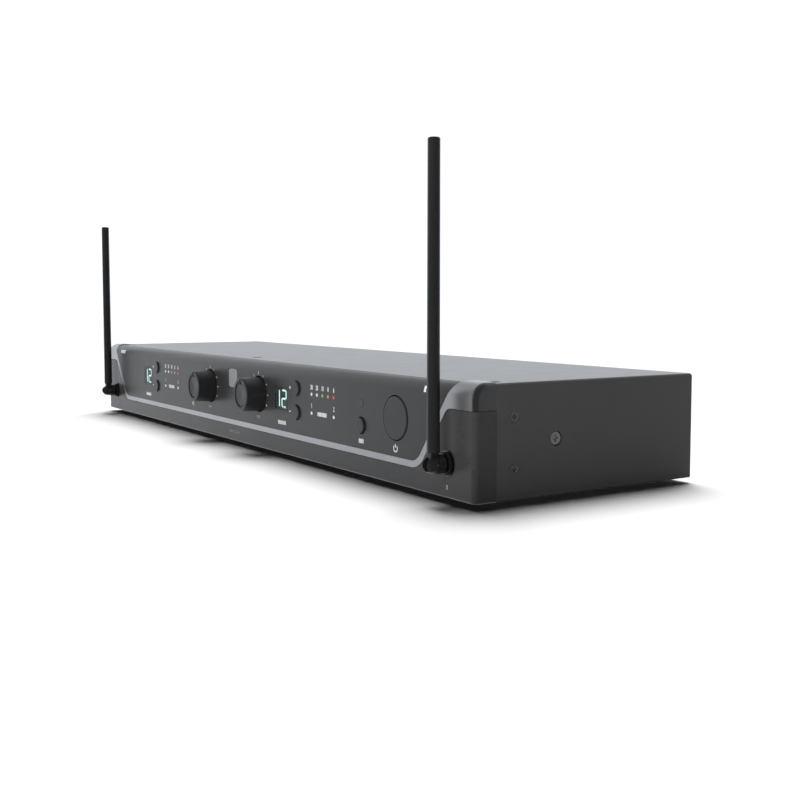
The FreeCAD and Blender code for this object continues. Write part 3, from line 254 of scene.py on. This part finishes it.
def printed(name, shapes, slot_name="print_white"):
    """Flat shapes on the panel as one piece: each is a list of (x, z) corners in metres."""
    mesh = bpy.data.meshes.new(name)
    work = bmesh.new()
    thick = Vector((0, PRINT_THICK, 0))
    for corners in shapes:
        front = [work.verts.new(Vector((x, PRINT_Y + set_back(z), z))) for x, z in corners]
        back = [work.verts.new(vert.co + thick) for vert in front]
        work.faces.new(front)
        work.faces.new(list(reversed(back)))
        count = len(front)
        for index in range(count):
            after = (index + 1) % count
            work.faces.new([front[after], front[index], back[index], back[after]])
    bmesh.ops.recalc_face_normals(work, faces=work.faces)
    work.to_mesh(mesh)
    work.free()
    piece = bpy.data.objects.new(name, mesh)
    bpy.context.collection.objects.link(piece)
    place_print(piece, slot_name)
    return piece


def bar(x, z, wide, high):
    """A rectangle about a point, in metres."""
    return [(x - wide / 2, z - high / 2), (x + wide / 2, z - high / 2),
            (x + wide / 2, z + high / 2), (x - wide / 2, z + high / 2)]


def stroke(x, z, angle, inner, outer, wide):
    """A radial tick about a centre, its angle measured from straight up."""
    along = Vector((math.sin(angle), math.cos(angle)))
    across = Vector((along.y, -along.x)) * wide / 2
    start = Vector((x, z)) + along * inner
    end = Vector((x, z)) + along * outer
    return [tuple(point) for point in (start - across, end - across, end + across, start + across)]


def numerals(name, text, x, z, high, slot_name="print_white"):
    """A short printed number, in the plain built-in face."""
    curve = bpy.data.curves.new(name, "FONT")
    curve.body = text
    curve.size = high / 0.73
    curve.align_x = "CENTER"
    curve.align_y = "CENTER"
    curve.extrude = 0.02 * MM
    curve.offset = high * 0.03
    source = bpy.data.objects.new(name + "_curve", curve)
    bpy.context.collection.objects.link(source)
    bpy.context.view_layer.update()
    mesh = bpy.data.meshes.new_from_object(source.evaluated_get(bpy.context.evaluated_depsgraph_get()))
    bpy.data.objects.remove(source)
    mesh.transform(Matrix.Translation((x, PRINT_Y, z)) @ Matrix.Rotation(math.pi / 2, 4, "X")
                   @ Matrix.Diagonal((0.75, 1, 1, 1)))
    mesh.materials.clear()
    piece = bpy.data.objects.new(name, mesh)
    bpy.context.collection.objects.link(piece)
    place_print(piece, slot_name)


def caption(name, x, z, wide, high, count, slot_name="print_white", rows=1):
    """Upright strokes where the object has a printed word, cut into rows to follow a curve."""
    step = wide / count
    shapes = []
    for index in range(count):
        for row in range(rows):
            middle = z + high * ((row + 0.5) / rows - 0.5)
            shapes.append(bar(x - wide / 2 + step * (index + 0.5), middle, step * 0.7, high / rows))
    printed(name, shapes, slot_name)


def channel_print(side, offset):
    """Marks round the display, keys and meter of one channel."""
    def at(x):
        return x * MM + offset

    printed(f"plus_sign_{side}", [bar(at(66.5), above(33.0), 1.7 * MM, 0.5 * MM),
                                  bar(at(66.5), above(33.0), 0.5 * MM, 1.7 * MM)])
    printed(f"minus_sign_{side}", [bar(at(66.3), above(21.5), 1.7 * MM, 0.5 * MM)])
    caption(f"channel_caption_{side}", at(57.6), above(15.2), 8.6 * MM, 1.9 * MM, 7)
    for index, text in enumerate(("30", "20", "10", "0", "6")):
        numerals(f"level_{text}_{side}", text, at(88.5 + 5.22 * index), above(34.4), 2.2 * MM)
    for index, x in enumerate((88.5, 109.4)):
        numerals(f"aerial_number_{index + 1}_{side}", str(index + 1), at(x), above(25.9), 2.1 * MM)
    caption(f"aerial_caption_{side}", at(98.4), above(22.6), 8.8 * MM, 1.9 * MM, 7)


def knob_print(side):
    """Ticks round a volume knob and a small mark under it."""
    middle = centre(f"volume_knob_{side}")
    ticks = []
    for step in range(-4, 5):
        angle = math.radians(30 * step)
        longer = 0.4 * MM if step == 0 else 0
        ticks.append(stroke(middle.x, middle.z, angle, 9.8 * MM, 11.0 * MM + longer, 0.4 * MM))
    printed(f"volume_ticks_{side}", ticks)
    caption(f"volume_caption_{side}", middle.x - 0.6 * MM, above(15.6), 4.4 * MM, 1.5 * MM, 4, "print_grey")


def power_symbol(x, z, radius):
    """The usual ring with an upright stroke."""
    shapes = []
    steps = 20
    gap = math.radians(40)
    for index in range(steps):
        start = gap + (2 * math.pi - 2 * gap) * index / steps
        end = gap + (2 * math.pi - 2 * gap) * (index + 1) / steps
        corners = []
        for angle, reach in ((start, radius), (end, radius), (end, radius * 0.72), (start, radius * 0.72)):
            corners.append((x + math.sin(angle) * reach, z + math.cos(angle) * reach))
        shapes.append(corners)
    shapes.append(bar(x, z + radius * 0.65, radius * 0.28, radius))
    return shapes


def panel_print():
    channel_print("left", -CHANNEL_PITCH * MM)
    channel_print("right", 0)
    for side in ("left", "right"):
        knob_print(side)
        sign = 1 if side == "right" else -1
        number = "2" if side == "right" else "1"
        numerals(f"connector_number_{side}", number, sign * 196.4 * MM, above(4.0), 1.6 * MM)
    caption("sync_caption", 133.2 * MM, above(14.6), 4.2 * MM, 1.9 * MM, 4)
    caption("corner_mark_left", -183.3 * MM, above(40.2), 9.6 * MM, 2.2 * MM, 5, rows=4)
    caption("corner_mark_right", 185.6 * MM, above(40.2), 10.6 * MM, 2.4 * MM, 5, rows=4)
    caption("band_mark", 1.1 * MM, above(4.8), 13.4 * MM, 1.5 * MM, 8, "print_dim")
    printed("output_mark", [bar(-57.2 * MM, above(15.3), 2.4 * MM, 1.3 * MM),
                            bar(-56.6 * MM, above(15.3), 0.9 * MM, 2.4 * MM)])
    printed("power_mark", power_symbol(160.4 * MM, above(14.6), 1.6 * MM))


# ---------------------------------------------------------------- stage
def floor():
    """A pale floor that carries on well past the view."""
    mesh = bpy.data.meshes.new("floor")
    reach = 12.0
    corners = [(-reach, -reach, 0), (reach, -reach, 0), (reach, reach, 0), (-reach, reach, 0)]
    mesh.from_pydata(corners, [], [(0, 1, 2, 3)])
    piece = bpy.data.objects.new("floor", mesh)
    bpy.context.collection.objects.link(piece)
    paper = Finish("floor_paper")
    paper.set(Roughness=0.9, Specular_IOR_Level=0.1)
    paper.tint(paper.noise(2, 2.0), (0.9, 0.9, 0.9), (0.93, 0.93, 0.93))
    mesh.materials.append(paper.material)
    piece.visible_glossy = False


def smooth_range(tree, start_end, low_high):
    item = tree.nodes.new("ShaderNodeMapRange")
    item.interpolation_type = "SMOOTHSTEP"
    for name, amount in zip(("From Min", "From Max", "To Min", "To Max"), start_end + low_high):
        item.inputs[name].default_value = amount
    return item


def studio():
    """A bright low backdrop behind the left end, dark overhead and towards the right."""
    world = bpy.data.worlds.new("studio")
    world.use_nodes = True
    tree = world.node_tree
    coords = tree.nodes.new("ShaderNodeTexCoord")
    facing = tree.nodes.new("ShaderNodeVectorMath")
    facing.operation = "DOT_PRODUCT"
    facing.inputs[1].default_value = Vector(BRIGHT_SIDE).normalized()
    split = tree.nodes.new("ShaderNodeSeparateXYZ")
    fade = smooth_range(tree, (-0.3, 0.85), (0, 1))
    roof = smooth_range(tree, (0.32, 0.8), (1, 0.25))
    both = tree.nodes.new("ShaderNodeMath")
    both.operation = "MULTIPLY"
    ramp = tree.nodes.new("ShaderNodeValToRGB")
    stops = ramp.color_ramp.elements
    stops[0].color = (0.03, 0.03, 0.032, 1)
    stops[1].color = (0.93, 0.975, 1.03, 1)
    middle = stops.new(0.55)
    middle.color = (0.33, 0.335, 0.345, 1)
    backdrop = tree.nodes["Background"]
    backdrop.inputs["Strength"].default_value = 1.12
    tree.links.new(coords.outputs["Generated"], facing.inputs[0])
    tree.links.new(coords.outputs["Generated"], split.inputs["Vector"])
    tree.links.new(facing.outputs["Value"], fade.inputs["Value"])
    tree.links.new(split.outputs["Z"], roof.inputs["Value"])
    tree.links.new(fade.outputs["Result"], both.inputs[0])
    tree.links.new(roof.outputs["Result"], both.inputs[1])
    tree.links.new(both.outputs["Value"], ramp.inputs["Fac"])
    tree.links.new(ramp.outputs["Color"], backdrop.inputs["Color"])
    world.cycles_visibility.diffuse = False
    bpy.context.scene.world = world


def lamp_from(name, kind, direction):
    """A light that shines from a direction towards the origin."""
    data = bpy.data.lights.new(name, kind)
    item = bpy.data.objects.new(name, data)
    item.location = direction
    item.rotation_euler = (-Vector(direction)).to_track_quat("-Z", "Y").to_euler()
    bpy.context.collection.objects.link(item)
    return item


def key_light():
    """A very wide light from behind, so that the shadows fall to the front and stay soft."""
    key = lamp_from("key", "SUN", KEY_FROM)
    key.data.angle = math.radians(44)
    key.data.energy = 4.3
    key.visible_glossy = False


def fill_light(receivers):
    """A weak softbox by the camera that leaves the floor's shadow dark."""
    fill = lamp_from("fill", "AREA", FILL_FROM)
    fill.data.size = 1.2
    fill.data.energy = 15
    fill.visible_glossy = False
    lit = bpy.data.collections.new("lit_by_fill")
    for item in receivers:
        lit.objects.link(item)
    fill.light_linking.receiver_collection = lit


def camera():
    """The viewpoint of the reference view: right of the front, slightly above the case."""
    turn = math.radians(VIEW_TURN)
    tilt = math.radians(VIEW_TILT)
    back = Vector((math.sin(turn) * math.cos(tilt), -math.cos(turn) * math.cos(tilt), math.sin(tilt)))
    right = Vector((math.cos(turn), math.sin(turn), 0))
    up = back.cross(right)
    data = bpy.data.cameras.new("view")
    data.sensor_width = 36
    data.lens = VIEW_LENS
    data.shift_y = VIEW_SHIFT
    data.clip_start = 0.01
    data.clip_end = 50
    item = bpy.data.objects.new("view", data)
    axes = Matrix((right, up, back)).transposed().to_4x4()
    place = (VIEW_X * MM, PANEL_Y - VIEW_BEFORE_PANEL * MM, above(VIEW_HEIGHT))
    item.matrix_world = Matrix.Translation(place) @ axes
    bpy.context.collection.objects.link(item)
    bpy.context.scene.camera = item


finish_cad_nodes()
panel_print()
pieces = [item for item in bpy.context.scene.objects if item.type == "MESH"]
floor()
studio()
key_light()
fill_light(pieces)
camera()
view = bpy.context.scene.view_settings
view.view_transform = "Standard"
view.look = "None"
